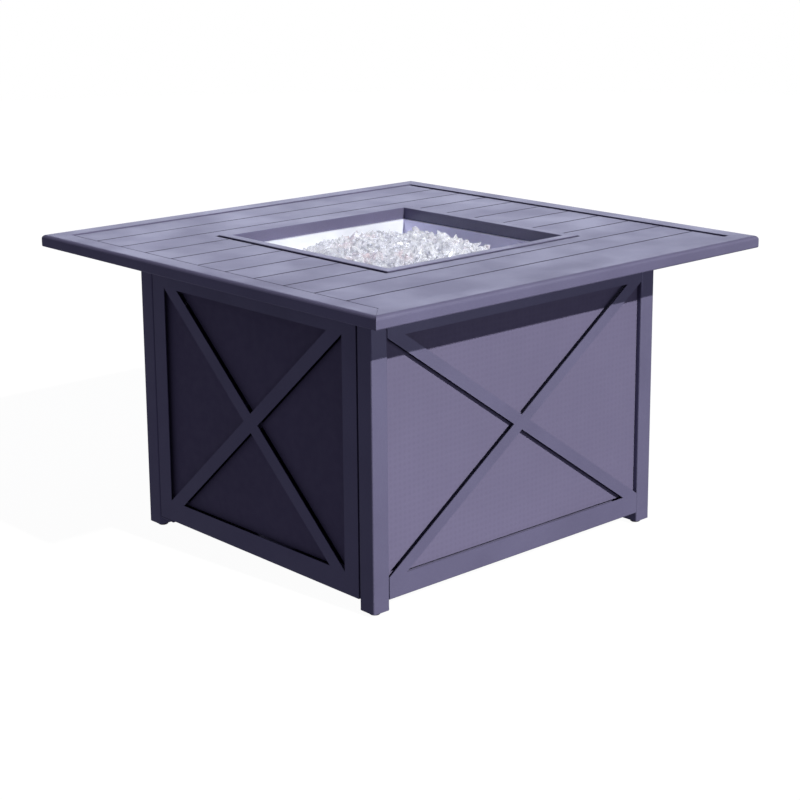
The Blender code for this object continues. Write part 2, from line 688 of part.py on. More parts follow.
def make_pipe():
    """A bent tube from the valve's outlet down and across to the foot of the mixer."""
    start = CONTROL_Z - 0.031
    low = MIXER_FOOT - 0.032
    points = [(KNOB_X, OUTLET_Y, start), (KNOB_X, OUTLET_Y, start - 0.047),
              (KNOB_X, OUTLET_Y - 0.007, low + 0.025), (0.032, 0.310, low + 0.004), (0.024, 0.220, low),
              (0.011, 0.090, low), (0.002, 0.020, low + 0.004), (0, 0, MIXER_FOOT - 0.015),
              (0, 0, MIXER_FOOT - 0.0005)]
    route = smooth_route(points, 5)
    curve = bpy.data.curves.new("gas_pipe", "CURVE")
    curve.dimensions = "3D"
    curve.bevel_depth = 0.005
    curve.bevel_resolution = 2
    curve.use_fill_caps = True
    spline = curve.splines.new("POLY")
    spline.points.add(len(route) - 1)
    for point, place in zip(spline.points, route):
        point.co = (*place, 1)
    pipe = bpy.data.objects.new("gas_pipe", curve)
    curve.materials.append(make_material("copper_pipe"))
    bpy.context.collection.objects.link(pipe)


def make_valve():
    """The valve body with its neck through the rail, outlet below and inlet at the side; spindle and knob."""
    back = BACK_FACE - RAIL_DEPTH - FIT
    body = box("valve_block", -0.018, 0.018, -0.036, 0.0, -0.017, 0.017)
    neck = prism("valve_neck", [circle(0, 0, 0.0075)], -0.002, RAIL_DEPTH - 0.001, "xzy")
    outlet = prism("valve_outlet", [circle(0, back - OUTLET_Y, 0.007, 16)], -0.0305, -0.015)
    outlet.transform(Matrix.Scale(-1, 4, (0, 1, 0)))
    outlet.flip_normals()
    inlet = prism("valve_inlet", [circle(back - OUTLET_Y, 0, 0.008, 16)], 0.016, 0.042, "yzx")
    inlet.transform(Matrix.Scale(-1, 4, (0, 1, 0)))
    inlet.flip_normals()
    valve = add_object("gas_valve", body, "brass", (KNOB_X, back, CONTROL_Z))
    combine(valve, "UNION", neck, outlet, inlet)
    stem_start = BACK_FACE - 0.0008
    stem = turned("valve_stem", [(0, 0), (0.004, 0), (0.004, 0.0250), (0.0035, 0.0258), (0, 0.0258)], "y", 20)
    add_object("valve_stem", stem, "stainless", (KNOB_X, stem_start, CONTROL_Z))
    make_knob()


def make_knob():
    """A turned knob with a grip bar across its face, bored from behind for the spindle."""
    back = BACK_FACE + FIT + PLATE_DEPTH + 0.005
    profile = [(0, 0.0215), (0.0043, 0.0215), (0.0043, 0), (0.0200, 0), (0.0200, 0.010), (0.0185, 0.0125),
               (0.0115, 0.0145), (0.0105, 0.0235), (0, 0.0245)]
    knob = add_object("control_knob", turned("control_knob", profile, "y"), "knob_plastic",
                      (KNOB_X, back, CONTROL_Z))
    bar = rounded_rectangle(-0.0035, 0.0035, -0.0165, 0.0165, 0.003)
    grip = prism("knob_grip", [bar], 0.011, 0.0255, "xzy")
    bore = prism("knob_bore", [circle(0, 0, 0.0043, 20)], -0.001, 0.0215, "xzy")
    combine(knob, "UNION", grip)
    combine(knob, "DIFFERENCE", bore)


def make_controls():
    """The plate on the back rail, the igniter tube through it and the push button."""
    front = BACK_FACE + FIT
    half_u, half_v = PLATE_SIZE[0] / 2, PLATE_SIZE[1] / 2
    loops = [rounded_rectangle(-half_u, half_u, CONTROL_Z - half_v, CONTROL_Z + half_v, 0.006, 4),
             circle(KNOB_X, CONTROL_Z, 0.006), circle(BUTTON_X, CONTROL_Z, 0.0117)]
    add_object("control_plate", prism("control_plate", loops, front, front + PLATE_DEPTH, "xzy"), "stainless")
    face = front + PLATE_DEPTH + FIT
    housing = turned("igniter_housing", [(0.0083, -0.050), (0.0112, -0.050), (0.0112, 0), (0.0135, 0),
                                         (0.0135, 0.0015), (0.0125, 0.0025), (0.0083, 0.0025)], "y", 28)
    add_object("igniter_housing", housing, "knob_plastic", (BUTTON_X, face, CONTROL_Z))
    button = turned("igniter_button", [(0, -0.030), (0.0080, -0.030), (0.0080, 0.0075), (0.0068, 0.0090),
                                       (0, 0.0095)], "y", 28)
    add_object("igniter_button", button, "red_plastic", (BUTTON_X, face, CONTROL_Z))


def main():
    clear_scene()
    make_top_frame()
    make_slats()
    make_trim()
    make_bearers()
    make_legs()
    make_front_apron()
    make_sides()
    make_door()
    make_pivots()
    make_shelf()
    make_pan()
    make_cradle()
    make_shield()
    make_burner()
    make_glass()
    make_pipe()
    make_valve()
    make_controls()


main()
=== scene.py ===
"""Looks for the square slatted gas fire table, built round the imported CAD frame. Metres, +Z up."""

import json
import math
import random

import bmesh
import bpy
from mathutils import Euler, Matrix, Vector


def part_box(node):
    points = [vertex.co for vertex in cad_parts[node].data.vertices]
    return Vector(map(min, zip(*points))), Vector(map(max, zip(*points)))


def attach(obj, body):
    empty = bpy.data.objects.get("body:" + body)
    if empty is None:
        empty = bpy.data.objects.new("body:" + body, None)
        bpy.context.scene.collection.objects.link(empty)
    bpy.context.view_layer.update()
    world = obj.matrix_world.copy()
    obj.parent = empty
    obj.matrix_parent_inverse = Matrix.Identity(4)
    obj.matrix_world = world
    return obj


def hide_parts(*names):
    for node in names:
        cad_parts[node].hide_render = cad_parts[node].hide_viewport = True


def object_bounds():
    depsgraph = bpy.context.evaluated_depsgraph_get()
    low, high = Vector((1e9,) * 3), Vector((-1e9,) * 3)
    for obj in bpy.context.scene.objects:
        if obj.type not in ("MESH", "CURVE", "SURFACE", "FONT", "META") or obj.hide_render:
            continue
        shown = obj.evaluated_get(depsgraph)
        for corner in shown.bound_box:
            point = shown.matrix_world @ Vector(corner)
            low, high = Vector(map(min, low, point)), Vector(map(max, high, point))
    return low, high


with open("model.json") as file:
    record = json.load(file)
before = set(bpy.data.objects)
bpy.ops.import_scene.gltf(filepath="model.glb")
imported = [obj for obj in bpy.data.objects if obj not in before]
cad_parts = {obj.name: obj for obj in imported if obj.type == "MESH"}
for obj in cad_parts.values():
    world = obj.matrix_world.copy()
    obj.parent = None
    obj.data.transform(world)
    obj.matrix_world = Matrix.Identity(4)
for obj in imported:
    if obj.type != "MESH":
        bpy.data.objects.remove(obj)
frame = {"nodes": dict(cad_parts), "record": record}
CAD_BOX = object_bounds()

TOP = CAD_BOX[1][2]

# Slats: half their width, their pitch, the width of the painted shade along each edge, in the joints, and its
# tone beside the coat
SLAT_HALF = (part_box("slat_01")[1].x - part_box("slat_01")[0].x) / 2
SLAT_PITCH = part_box("slat_02")[0].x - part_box("slat_01")[0].x
JOINT_SHADE_WIDTH = 0.0007
JOINT_SHADE_TONE = 0.25

# Burner pan: its sheet, the top of its floor, and its back wall: its place, and the reach and colour of the
# painted shade on its inner face
PAN_SHEET = 0.0012
PAN_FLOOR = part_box("burner_pan")[0].z + PAN_SHEET
PAN_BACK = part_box("fire_glass")[1].y + 0.001
PAN_BACK_SHADE_REACH = 0.002
PAN_BACK_SHADE_COLOUR = (0.55, 0.54, 0.74)

# Camera: place from the middle of the table's top, and the way it points, in degrees
CAMERA_FROM_TOP = Vector((2.7287, -2.4759, 0.6837))
CAMERA_AZIMUTH = 47.695
CAMERA_ELEVATION = 12.597
CAMERA_ROLL = -0.42
CAMERA_LENS = 80.24
CAMERA_SHIFT = -0.125

# Light: the sun, the sky, what the gloss of a coat picks up from below the horizon, and the floor
SUN_FROM = Vector((1.0, 0.10, 0.652))
SUN_STRENGTH = 5.2
SUN_SPREAD = 0.9
SUN_COLOUR = (1.0, 1.0, 0.92)
SKY_LEVEL = 0.13
SKY_TINT = (0.82, 0.78, 1.06)
FLOOR_GLEAM = 0.27
FLOOR_RADIUS = 9.0
FLOOR_GREY = 0.045
FLOOR_GLOW = 0.965
# Softboxes: name, place, what it points at, size, power, colour
SOFTBOXES = (
    ("far_softbox", (-4.2, 3.8, 1.9), (0.0, 0.0, TOP), (6.0, 2.4), 84.0, (0.82, 0.85, 1.0)),
    ("overhead_softbox", (0.0, 0.0, 4.0), (0.0, 0.0, TOP), (3.5, 3.5), 30.0, (0.84, 0.86, 1.0)),
    ("low_softbox", (3.2, 0.6, 0.35), (0.3, 0.0, 0.35), (3.0, 0.6), 14.0, (0.88, 0.88, 1.0)),
)

# Fire glass heap: height at its edge, rise to its middle, radius, and the place of its middle
HEAP_EDGE = 0.553
HEAP_RISE = 0.066
HEAP_RADIUS = 0.246
HEAP_MIDDLE = (-0.004, -0.004)
# Chunks lie in layers on a square grid; the middles of the top layer are sunk a little into the heap
CHUNK_LAYERS = 3
CHUNK_PITCH = 0.0165
CHUNK_SUNK = 0.004
LAYER_DROP = 0.012
HEIGHT_SCATTER = 0.005
# Size of a chunk, how much larger one in ten is, how far one of size 1 reaches, and its half height
CHUNK_SIZES = (0.0085, 0.0140)
LARGE_CHUNK = 1.3
CHUNK_REACH = 1.25
CHUNK_HALF_HEIGHT = 0.8
# Tall pieces standing up from the heap: x, y, half width, half height
SPIRES = ((-0.060, 0.110, 0.011, 0.019), (-0.005, 0.140, 0.011, 0.019), (-0.030, 0.125, 0.012, 0.013))
# The bed under the chunks: how far it lies below the heap's height, and inside the glass's edge
BED_DEPTH = 0.024
BED_MARGIN = 0.002

# Screws, dial, pointer and pipe nuts; marks are sunk a little into the face under them
MARK_SUNK = 0.0001
SCREW_RADIUS = 0.0036
SCREW_INSET = 0.007
DIAL_RADIUS = 0.0238
DIAL_STEP = 30
SMALLEST_DOT = 0.0007
DOT_GROWTH = 0.00015
POINTER_SIZE = (0.0016, 0.0006, 0.0085)
POINTER_OFFSET = 0.0105
POINTER_ROUND = 0.00015
NUT_RADIUS = 0.0082
NUT_CHAMFER = 0.0012
NUT_LENGTH = 0.0100
PIPE_RADIUS = 0.005

# Gasket: gap to the glass inside it, gaps to the bearers round it and the flange under it, height, chamfer
GASKET_INSET = 0.010
GASKET_SIDE_GAP = 0.0003
GASKET_LIFT = 0.0001
GASKET_HEIGHT = 0.0015
GASKET_CHAMFER = 0.0004


# Materials


class Paint:
    """A node material under construction, with one Principled shader."""

    def __init__(self, name, colour, roughness, metallic=0.0):
        self.material = bpy.data.materials.new(name)
        self.material.use_nodes = True
        self.tree = self.material.node_tree
        self.shader = self.tree.nodes["Principled BSDF"]
        self.coords = self.node("ShaderNodeTexCoord").outputs["Object"]
        self.set("Base Color", (*colour, 1.0))
        self.set("Roughness", roughness)
        self.set("Metallic", metallic)

    def node(self, kind, **values):
        made = self.tree.nodes.new(kind)
        for name, value in values.items():
            setattr(made, name, value)
        return made

    def link(self, source, target):
        self.tree.links.new(source, target)

    def set(self, socket, value):
        self.shader.inputs[socket].default_value = value

    def stretched(self, scale):
        """Object coordinates scaled by (x, y, z)."""
        mapping = self.node("ShaderNodeMapping")
        mapping.inputs["Scale"].default_value = scale
        self.link(self.coords, mapping.inputs["Vector"])
        return mapping.outputs["Vector"]

    def noise(self, scale, detail=2.0, coords=None, roughness=0.5):
        made = self.node("ShaderNodeTexNoise")
        made.inputs["Scale"].default_value = scale
        made.inputs["Detail"].default_value = detail
        made.inputs["Roughness"].default_value = roughness
        self.link(coords or self.coords, made.inputs["Vector"])
        return made.outputs["Fac"]

    def weave(self, scale):
        """Ridges running three ways, as in a cast or woven sheet, from 0 to 1."""
        total = None
        for direction in ("X", "Y", "Z"):
            made = self.node("ShaderNodeTexWave", bands_direction=direction)
            made.inputs["Scale"].default_value = scale / 20
            made.inputs["Distortion"].default_value = 0.6
            made.inputs["Detail"].default_value = 1.0
            self.link(self.coords, made.inputs["Vector"])
            if total is None:
                total = made.outputs["Fac"]
                continue
            both = self.node("ShaderNodeMath", operation="MULTIPLY")
            self.link(total, both.inputs[0])
            self.link(made.outputs["Fac"], both.inputs[1])
            total = both.outputs["Value"]
        return total

    def near(self, axis, place, reach):
        """1 where the coordinate on an axis is within reach of place, or else 0."""
        parts = self.node("ShaderNodeSeparateXYZ")
        self.link(self.coords, parts.inputs["Vector"])
        made = self.node("ShaderNodeMath", operation="COMPARE")
        self.link(parts.outputs[axis], made.inputs[0])
        made.inputs[1].default_value = place
        made.inputs[2].default_value = reach
        return made.outputs["Value"]

    def near_multiple(self, axis, pitch, reach):
        """1 where the coordinate is within reach of a whole number of pitches, or else 0."""
        parts = self.node("ShaderNodeSeparateXYZ")
        self.link(self.coords, parts.inputs["Vector"])
        away = self.node("ShaderNodeMath", operation="PINGPONG")
        self.link(parts.outputs[axis], away.inputs[0])
        away.inputs[1].default_value = pitch / 2
        made = self.node("ShaderNodeMath", operation="LESS_THAN")
        self.link(away.outputs["Value"], made.inputs[0])
        made.inputs[1].default_value = reach
        return made.outputs["Value"]

    def between(self, value, low, high, start=0.35, end=0.65):
        """Map value from start..end to low..high."""
        made = self.node("ShaderNodeMapRange")
        made.inputs["From Min"].default_value = start
        made.inputs["From Max"].default_value = end
        made.inputs["To Min"].default_value = low
        made.inputs["To Max"].default_value = high
        self.link(value, made.inputs["Value"])
        return made.outputs["Result"]

    def mix(self, factor, first, second):
        """A colour from first to second as factor goes from 0 to 1. Each is a colour or a socket."""
        made = self.node("ShaderNodeMix", data_type="RGBA")
        self.link(factor, made.inputs["Factor"])
        for socket, colour in ((made.inputs[6], first), (made.inputs[7], second)):
            if isinstance(colour, bpy.types.NodeSocket):
                self.link(colour, socket)
            else:
                socket.default_value = (*colour, 1.0)
        return made.outputs[2]

    def bump(self, height, strength, distance, under=None):
        made = self.node("ShaderNodeBump")
        made.inputs["Strength"].default_value = strength
        made.inputs["Distance"].default_value = distance
        self.link(height, made.inputs["Height"])
        if under:
            self.link(under, made.inputs["Normal"])
        self.link(made.outputs["Normal"], self.shader.inputs["Normal"])
        return made.outputs["Normal"]

    def colour(self, socket):
        self.link(socket, self.shader.inputs["Base Color"])

    def rough(self, socket):
        self.link(socket, self.shader.inputs["Roughness"])


def scaled(colour, factor):
    return tuple(channel * factor for channel in colour)


def powder_coat(name="powder_coat", unshaded_half=None):
    """Satin slate coat: fine orange peel, a faint metal flake, slow changes in tone and gloss.

    Given a half width, painted shade darkens the coat further than that from the middle of each slat, in the
    joints between slats.
    """
    base = (0.091, 0.083, 0.150)
    paint = Paint(name, base, 0.4, 0.1)
    paint.set("Specular IOR Level", 1.0)
    paint.set("Specular Tint", (0.72, 0.76, 1.0, 1.0))
    slow = paint.between(paint.noise(5.0, 4.0), 0.0, 1.0)
    tone = paint.mix(slow, scaled(base, 0.93), scaled(base, 1.06))
    flake = paint.between(paint.noise(1700.0, 1.0), 0.0, 0.35, 0.58, 0.75)
    coat = paint.mix(flake, tone, (0.30, 0.30, 0.38))
    if unshaded_half:
        # Painted shade: the coat is darkened near each slat's edges, so the joints between slats look dark
        coat = paint.mix(paint.near_multiple("X", SLAT_PITCH, unshaded_half), scaled(base, JOINT_SHADE_TONE), coat)
    paint.colour(coat)
    paint.rough(paint.between(paint.noise(9.0, 5.0), 0.36, 0.46))
    peel = paint.bump(paint.noise(420.0, 2.0), 0.10, 0.0004)
    paint.bump(paint.noise(14.0, 1.0), 0.05, 0.003, peel)
    return paint.material


def textured_coat():
    """Duller slate coat with a fine woven texture in it, for the sheets."""
    base = (0.118, 0.106, 0.184)
    paint = Paint("textured_coat", base, 0.55, 0.05)
    paint.set("Specular IOR Level", 0.25)
    slow = paint.between(paint.noise(4.0, 3.0), 0.0, 1.0)
    tone = paint.mix(slow, scaled(base, 0.96), scaled(base, 1.04))
    weave = paint.weave(520.0)
    paint.colour(paint.mix(paint.between(weave, 0.0, 0.30, 0.0, 1.0), tone, scaled(base, 0.80)))
    paint.rough(paint.between(paint.noise(60.0, 3.0), 0.50, 0.62))
    paint.bump(weave, 0.25, 0.0003)
    return paint.material


def stainless():
    """Brushed sheet: fine grain along it, in its height and in its gloss; painted shade, darker and bluer, on
    the inner face of the pan's back wall.
    """
    colour = (0.84, 0.86, 0.95)
    paint = Paint("stainless", colour, 0.3, 0.6)
    grain = paint.noise(1.0, 3.0, paint.stretched((6.0, 6.0, 900.0)))
    paint.rough(paint.between(grain, 0.42, 0.56))
    slow = paint.between(paint.noise(7.0, 3.0), 0.0, 1.0)
    unshaded = paint.mix(slow, scaled(colour, 0.92), scaled(colour, 1.05))
    # Painted shade: the inner face of the pan's back wall, which faces away from the sun, is given a darker,
    # bluer colour
    paint.colour(paint.mix(paint.near("Y", PAN_BACK, PAN_BACK_SHADE_REACH), unshaded, PAN_BACK_SHADE_COLOUR))
    paint.bump(grain, 0.12, 0.0002)
    return paint.material


def aluminised():
    """Dull spangled sheet with heat marks."""
    base = (0.46, 0.46, 0.47)
    paint = Paint("aluminised_sheet", base, 0.45, 1.0)
    cells = paint.node("ShaderNodeTexVoronoi")
    cells.inputs["Scale"].default_value = 90.0
    paint.link(paint.coords, cells.inputs["Vector"])
    spangle = paint.between(cells.outputs["Distance"], 0.0, 1.0, 0.0, 0.8)
    heat = paint.between(paint.noise(6.0, 3.0), 0.0, 0.5, 0.5, 0.75)
    tone = paint.mix(spangle, scaled(base, 0.86), scaled(base, 1.1))
    paint.colour(paint.mix(heat, tone, (0.36, 0.30, 0.24)))
    paint.rough(paint.between(spangle, 0.38, 0.55, 0.0, 1.0))
    return paint.material


def turned_metal(name, colour, dull):
    """Brass or drawn tube: tool marks round it, and patches of tarnish."""
    paint = Paint(name, colour, 0.3, 1.0)
    tarnish = paint.between(paint.noise(45.0, 5.0), 0.0, 0.8, 0.45, 0.7)
    paint.colour(paint.mix(tarnish, colour, dull))
    paint.rough(paint.between(tarnish, 0.22, 0.48, 0.0, 0.8))
    paint.bump(paint.noise(1.0, 2.0, paint.stretched((40.0, 40.0, 2200.0))), 0.15, 0.0002)
    return paint.material


def moulded(name, colour, roughness, grain=900.0):
    """Moulded plastic: a fine spark-eroded grain, and wear that evens it out in places."""
    paint = Paint(name, colour, roughness)
    wear = paint.between(paint.noise(30.0, 4.0), 0.0, 1.0)
    paint.colour(paint.mix(wear, scaled(colour, 0.85), scaled(colour, 1.25)))
    paint.rough(paint.between(wear, roughness - 0.08, roughness + 0.08, 0.0, 1.0))
    paint.bump(paint.noise(grain, 2.0), 0.2, 0.0002)
    return paint.material


def ceramic():
    """Glazed insulator: specks in the body, and soot on it."""
    base = (0.80, 0.78, 0.73)
    paint = Paint("ceramic", base, 0.3)
    speck = paint.between(paint.noise(600.0, 3.0), 0.0, 0.5, 0.6, 0.8)
    soot = paint.between(paint.noise(60.0, 3.0), 0.0, 0.35, 0.5, 0.7)
    tone = paint.mix(speck, base, (0.55, 0.50, 0.42))
    paint.colour(paint.mix(soot, tone, (0.25, 0.23, 0.22)))
    paint.set("Coat Weight", 0.4)
    paint.bump(paint.noise(300.0, 2.0), 0.1, 0.0002)
    return paint.material


def crushed_glass():
    """Clear tempered glass: slight tints from piece to piece, rippled broken faces, and a faint painted glow
    that brightens it.
    """
    paint = Paint("fire_glass", (0.97, 0.98, 1.0), 0.05)
    paint.set("Transmission Weight", 0.78)
    paint.set("IOR", 1.45)
    # Painted light: the glass glows faintly white, though it gives no light of its own
    paint.set("Emission Color", (0.93, 0.94, 1.0, 1.0))
    paint.set("Emission Strength", 0.06)
    pink = paint.between(paint.noise(16.0, 2.0), 0.0, 1.0, 0.60, 0.72)
    grey = paint.between(paint.noise(60.0, 1.0), 0.0, 1.0, 0.42, 0.62)
    clear = paint.mix(grey, (0.95, 0.96, 1.0), (0.80, 0.81, 0.88))
    paint.colour(paint.mix(pink, clear, (0.96, 0.84, 0.88)))
    paint.rough(paint.between(paint.noise(130.0, 2.0), 0.03, 0.16))
    paint.bump(paint.noise(190.0, 2.0), 0.25, 0.0012)
    return paint.material


def glass_bed():
    """The glass deep in the heap, where light is scattered."""
    paint = Paint("fire_glass_bed", (0.86, 0.87, 0.89), 0.35)
    deep = paint.between(paint.noise(110.0, 3.0), 0.0, 1.0, 0.38, 0.6)
    paint.colour(paint.mix(deep, (0.55, 0.56, 0.64), (0.85, 0.86, 0.94)))
    paint.rough(paint.between(deep, 0.2, 0.5, 0.0, 1.0))
    paint.bump(paint.noise(160.0, 3.0), 0.8, 0.004)
    return paint.material


def white_mark():
    """Printed white ink, uneven in its cover."""
    paint = Paint("white_mark", (0.80, 0.80, 0.80), 0.5)
    cover = paint.between(paint.noise(400.0, 2.0), 0.0, 1.0)
    paint.colour(paint.mix(cover, (0.72, 0.72, 0.72), (0.84, 0.84, 0.84)))
    paint.bump(paint.noise(900.0, 2.0), 0.1, 0.0001)
    return paint.material


MATERIALS = {
    "powder_coat": powder_coat(),
    # The slats' coat, with painted shade along their edges in the joints
    "slat_coat_joint_shade": powder_coat("slat_coat_joint_shade", SLAT_HALF - JOINT_SHADE_WIDTH),
    "textured_coat": textured_coat(),
    "stainless": stainless(),
    "aluminised_sheet": aluminised(),
    "brass": turned_metal("brass", (0.72, 0.54, 0.26), (0.42, 0.30, 0.14)),
    "copper_pipe": turned_metal("copper_pipe", (0.58, 0.44, 0.23), (0.34, 0.25, 0.14)),
    "black_nylon": moulded("black_nylon", (0.022, 0.022, 0.024), 0.5),
    "knob_plastic": moulded("knob_plastic", (0.030, 0.030, 0.033), 0.42),
    "red_plastic": moulded("red_plastic", (0.36, 0.025, 0.022), 0.3, 300.0),
    "ceramic": ceramic(),
    "fire_glass": crushed_glass(),
    "fire_glass_bed": glass_bed(),
    "white_mark": white_mark(),
}


def paint_nodes():
    """Give every CAD node the material its record entry names; the slats get a coat with painted shade in
    their joints.
    """
    slots = {part["node"]: part["material_slot"] for part in frame["record"]["subparts"]}
    for name, node in frame["nodes"].items():
        look = slots[name]
        if name.startswith("slat_") and not name.startswith("slat_bearer"):
            look = "slat_coat_joint_shade"
        if not node.material_slots:
            node.data.materials.append(None)
        for slot in node.material_slots:
            slot.link = "OBJECT"
            slot.material = MATERIALS[look]


# Pieces


def mesh_from(bm, name):
    """The mesh of a bmesh, which is freed."""
    mesh = bpy.data.meshes.new(name)
    bm.to_mesh(mesh)
    bm.free()
    return mesh


def add_object(name, data):
    obj = bpy.data.objects.new(name, data)
    bpy.context.scene.collection.objects.link(obj)
    return obj


def add_piece(name, mesh, material, body, smooth_below=30.0):
    """A piece of the model that rides on a body; edges up to smooth_below degrees are shaded smooth."""
    obj = add_object(name, mesh)
    mesh.materials.append(MATERIALS[material])
    mesh.shade_smooth()
    mesh.set_sharp_from_angle(angle=math.radians(smooth_below))
    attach(obj, body)
    return obj


def close_stack(bm, loops):
    """Join a stack of loops into a skin, capped at both ends."""
    sides = len(loops[0])
    for low, high in zip(loops, loops[1:]):
        for k in range(sides):
            n = (k + 1) % sides
            bm.faces.new([low[k], low[n], high[n], high[k]])
    bm.faces.new(loops[-1])
    bm.faces.new(list(reversed(loops[0])))


def heap_height(x, y):
    """Height of the heap of glass, which is flat in the middle and falls off to its edge."""
    distance = math.hypot(x - HEAP_MIDDLE[0], y - HEAP_MIDDLE[1]) / HEAP_RADIUS
    return HEAP_EDGE + HEAP_RISE * max(0.0, 1 - distance ** 4)


def crystal_shapes(rng, count=28):
    """Broken chunks of unit size: the hulls of a few points each, as (points, faces)."""
    shapes = []
    for _ in range(count):
        bm = bmesh.new()
        stretch = Vector((rng.uniform(0.75, 1.25), rng.uniform(0.65, 1.0), rng.uniform(0.5, 0.9)))
        for _ in range(rng.randint(8, 12)):
            point = Vector((rng.gauss(0, 1), rng.gauss(0, 1), rng.gauss(0, 1))).normalized()
            bm.verts.new(point * stretch * rng.uniform(0.8, 1.1))
        bmesh.ops.convex_hull(bm, input=bm.verts)
        loose = [vert for vert in bm.verts if not vert.link_faces]
        bmesh.ops.delete(bm, geom=loose, context="VERTS")
        bm.verts.index_update()
        points = [vert.co.copy() for vert in bm.verts]
        faces = [[vert.index for vert in face.verts] for face in bm.faces]
        shapes.append((points, faces))
        bm.free()
    return shapes


def random_chunk(rng, shapes, column, row, layer, reach):
    """Points and faces of one chunk, or None where a lower layer would go through the pan's floor."""
    size = rng.uniform(*CHUNK_SIZES) * (1.0 if rng.random() < 0.9 else LARGE_CHUNK)
    x = (column + rng.uniform(0.1, 0.9)) * CHUNK_PITCH - reach
    y = (row + rng.uniform(0.1, 0.9)) * CHUNK_PITCH - reach
    margin = reach - size * CHUNK_REACH
    x = max(-margin, min(margin, x))
    y = max(-margin, min(margin, y))
    scatter = rng.uniform(-HEIGHT_SCATTER, HEIGHT_SCATTER)
    z = heap_height(x, y) - CHUNK_SUNK - layer * LAYER_DROP + scatter
    turn = Euler([rng.uniform(0, 6.28) for _ in range(3)]).to_matrix()
    shape, faces = rng.choice(shapes)
    lowest = PAN_FLOOR + size * CHUNK_REACH
    if z < lowest and layer > 0:
        return None
    middle = Vector((x, y, max(z, lowest)))
    return [turn @ (point * size) + middle for point in shape], faces


def spire(shape, x, y, width, height):
    """Points of a tall chunk with its middle at the top of the heap."""
    middle = Vector((x, y, heap_height(x, y)))
    points = []
    for point in shape:
        tall = point.z * height / CHUNK_HALF_HEIGHT
        points.append(Vector((point.x * width, point.y * width, tall)) + middle)
    return points


def make_crystals():
    """The heap of crushed glass: layers of broken chunks on a bed, in place of the CAD mound."""
    rng = random.Random(7)
    shapes = crystal_shapes(rng)
    low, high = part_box("fire_glass")
    reach = high.x
    count = int(2 * reach / CHUNK_PITCH)
    chunks = []
    for layer in range(CHUNK_LAYERS):
        for column in range(count):
            for row in range(count):
                chunks.append(random_chunk(rng, shapes, column, row, layer, reach))
    for x, y, width, height in SPIRES:
        shape, faces = rng.choice(shapes)
        chunks.append((spire(shape, x, y, width, height), faces))
    all_points = []
    all_faces = []
    for points, faces in filter(None, chunks):
        start = len(all_points)
        all_points.extend(points)
        all_faces.extend([start + k for k in face] for face in faces)
    mesh = bpy.data.meshes.new("fire_glass_crystals")
    mesh.from_pydata(all_points, [], all_faces)
    crystals = add_piece("fire_glass_crystals", mesh, "fire_glass", "table", 10.0)
    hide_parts("fire_glass")
    make_bed(reach - BED_MARGIN, low.z)


def make_bed(half, low, steps=40):
    """A closed mound under the crystals, so that nothing shows between them."""
    bm = bmesh.new()
    rows = []
    for j in range(steps + 1):
        for i in range(steps + 1):
            x = half * (2 * i / steps - 1)
            y = half * (2 * j / steps - 1)
            z = max(low + 0.001, heap_height(x, y) - BED_DEPTH)
            rows.append((bm.verts.new((x, y, z)), bm.verts.new((x, y, low))))
    across = steps + 1
    for j in range(steps):
        for i in range(steps):
            a = j * across + i
            for level in (0, 1):
                bm.faces.new([rows[k][level] for k in (a, a + 1, a + across + 1, a + across)])
    border = list(range(steps))
    border += [steps + k * across for k in range(steps)]
    border += [across * across - 1 - k for k in range(steps)]
    border += [steps * across - k * across for k in range(steps)]
    for k, a in enumerate(border):
        b = border[(k + 1) % len(border)]
        bm.faces.new([rows[a][0], rows[b][0], rows[b][1], rows[a][1]])
    bmesh.ops.recalc_face_normals(bm, faces=bm.faces)
    mesh = mesh_from(bm, "fire_glass_bed")
    add_piece("fire_glass_bed", mesh, "fire_glass_bed", "table", 80.0)


def hexagon_reach(angle):
    """How far a hexagon with corners at distance 1 reaches, in the direction of an angle."""
    return math.cos(math.pi / 6) / math.cos((angle % (math.pi / 3)) - math.pi / 6)


def button_head(name, place, axis, sides=24):
    """A domed stainless screw head with a hexagon socket."""
    dome = [(1.0, 0.0), (1.0, 0.12), (0.93, 0.30), (0.78, 0.44), (0.56, 0.52)]
    angles = [2 * math.pi * k / sides for k in range(sides)]
    outlines = [([ratio] * sides, height) for ratio, height in dome]
    socket = [0.46 * hexagon_reach(angle) for angle in angles]
    outlines += [(socket, 0.50), (socket, 0.18)]
    bm = bmesh.new()
    loops = []
    for ratios, height in outlines:
        loop = []
        for ratio, angle in zip(ratios, angles):
            reach = SCREW_RADIUS * ratio
            point = (reach * math.cos(angle), reach * math.sin(angle), SCREW_RADIUS * height)
            loop.append(bm.verts.new(point))
        loops.append(loop)
    close_stack(bm, loops)
    turn = Vector((0, 0, 1)).rotation_difference(Vector(axis)).to_matrix().to_4x4()
    bmesh.ops.transform(bm, matrix=Matrix.Translation(place) @ turn, verts=bm.verts)
    bmesh.ops.recalc_face_normals(bm, faces=bm.faces)
    add_piece(name, mesh_from(bm, name), "stainless", "table", 40.0)


def make_plate_screws():
    low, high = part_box("control_plate")
    corners = [(x, z) for x in (low.x + SCREW_INSET, high.x - SCREW_INSET)
               for z in (low.z + SCREW_INSET, high.z - SCREW_INSET)]
    for k, (x, z) in enumerate(corners, 1):
        button_head("plate_screw_%d" % k, Vector((x, high.y, z)), (0, 1, 0))


def ring_of(bm, place, radius, sides, axis):
    """Vertices evenly round a circle, square to the axis."""
    turn = Vector((0, 0, 1)).rotation_difference(axis).to_matrix()
    made = []
    for k in range(sides):
        angle = 2 * math.pi * (k + 0.5) / sides
        point = Vector((radius * math.cos(angle), radius * math.sin(angle), 0))
        made.append(bm.verts.new(place + turn @ point))
    return made


